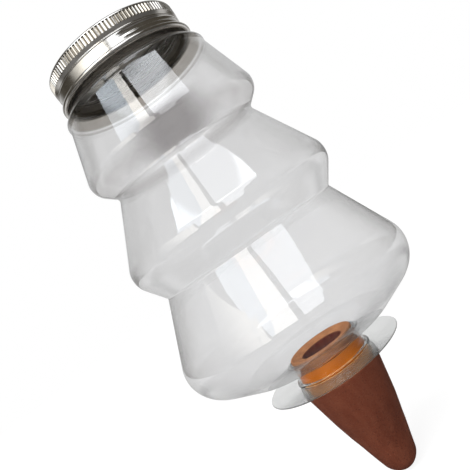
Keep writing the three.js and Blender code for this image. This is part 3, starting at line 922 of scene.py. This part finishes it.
def straight_view(tree, paths):
    """1 where the camera looks at the backdrop, also straight through clear plastic, else 0."""
    through = paths.outputs["Is Transmission Ray"]
    for depth in ("Glossy Depth", "Diffuse Depth"):
        none_yet = calculate(tree, "LESS_THAN", paths.outputs[depth], HALF_A_BOUNCE)
        through = overlap(tree, through, none_yet)
    return calculate(tree, "MAXIMUM", paths.outputs["Is Camera Ray"], through)


def mirror_view(tree, paths):
    """1 on a path that some surface has mirrored, also if it then went through clear plastic."""
    return calculate(tree, "GREATER_THAN", paths.outputs["Glossy Depth"], HALF_A_BOUNCE)

# %% Make the world white to the camera, pale behind the object and dim in front
SOFT_FILL = (0.25, 0.25, 0.25)
BACK_AND_UP = (0, 1, 0.6)
ROOM_END = 0.72
BACKDROP_START = 1.05

world = bpy.data.worlds.new("studio")
scene.world = world
world.use_nodes = True
sky = world.node_tree
rays = place(sky, "ShaderNodeLightPath")
sky_way = place(sky, "ShaderNodeTexCoord").outputs["Generated"]
mirrored = fade_to_room(sky, sky_way, BACK_AND_UP, ROOM_END, BACKDROP_START)
lit = blend_colours(sky, mirror_view(sky, rays), SOFT_FILL, mirrored)
seen = blend_colours(sky, straight_view(sky, rays), lit, (1, 1, 1))
connect(sky, seen, sky.nodes["Background"].inputs["Color"])
print("world has", len(sky.nodes), "nodes")

# %% [markdown]
# ## Floor
# The waterer's spike just clears a white sheet of paper, which has to look as white as the backdrop and
# still show a soft shadow. A plain white sheet would come out grey under a plain lamp. So where the
# camera sees it, the paper glows by itself, a little less near the object, and adds a small share of
# lit white on top, which is missing in the shadow. To all other light it is plain pale paper.

# %% Lay the floor
FLOOR_LEVEL = -0.0618
FLOOR_RADIUS = 3
FLOOR_EDGES = 96

floor_bm = bmesh.new()
bmesh.ops.create_circle(floor_bm, cap_ends=True, segments=FLOOR_EDGES, radius=FLOOR_RADIUS)
bmesh.ops.translate(floor_bm, verts=floor_bm.verts[:], vec=(0, 0, FLOOR_LEVEL))
floor_mesh = bpy.data.meshes.new("floor")
floor_bm.to_mesh(floor_mesh)
floor_bm.free()
floor = bpy.data.objects.new("floor", floor_mesh)
scene.collection.objects.link(floor)
print("floor at", FLOOR_LEVEL, "m")

# %% Make the paper of the floor
FLOOR_GLOW = 0.9  # near the object, where the shadow falls
FLOOR_NEAR = 0.2
FLOOR_FAR = 0.9
FLOOR_SHADE = 0.2
DIM_FLOOR = (0.02, 0.017, 0.013)
BACKWARD = (0, 1, 0)

paper, tree, shader, coords = new_material("white_floor")
shader.inputs["Base Color"].default_value = (0.8, 0.8, 0.8, 1)
shader.inputs["Roughness"].default_value = 0.9
shader.inputs["Specular IOR Level"].default_value = 0
paths = place(tree, "ShaderNodeLightPath")
glow = place(tree, "ShaderNodeEmission")
glow_strength = soft_rise(tree, way_out(tree, coords), FLOOR_NEAR, FLOOR_FAR, FLOOR_GLOW, 1.0)
connect(tree, glow_strength, glow.inputs["Strength"])
close_by = fade_to_room(tree, coords, BACKWARD, -0.05, 0.1, DIM_FLOOR)
farther = fade_to_room(tree, coords, BACKWARD, 0.1, 0.3, DIM_FLOOR)
mirrored = blend_colours(tree, axis_distance(tree, coords, 200, 300), close_by, farther)
in_mirrors = mirror_view(tree, paths)
connect(tree, blend_colours(tree, in_mirrors, (1, 1, 1), mirrored), glow.inputs["Color"])
shade = place(tree, "ShaderNodeBsdfDiffuse")
shade.inputs["Color"].default_value = (FLOOR_SHADE, FLOOR_SHADE, FLOOR_SHADE, 1)
glow_and_shade = place(tree, "ShaderNodeAddShader")
connect(tree, glow.outputs["Emission"], glow_and_shade.inputs[0])
connect(tree, shade.outputs["BSDF"], glow_and_shade.inputs[1])
seen_or_lit = place(tree, "ShaderNodeMixShader")
in_view = calculate(tree, "MAXIMUM", straight_view(tree, paths), in_mirrors)
connect(tree, in_view, seen_or_lit.inputs["Fac"])
connect(tree, shader.outputs["BSDF"], seen_or_lit.inputs[1])
connect(tree, glow_and_shade.outputs["Shader"], seen_or_lit.inputs[2])
connect(tree, seen_or_lit.outputs["Shader"], tree.nodes["Material Output"].inputs["Surface"])
floor_mesh.materials.append(paper)
print("floor paper has", len(tree.nodes), "nodes")
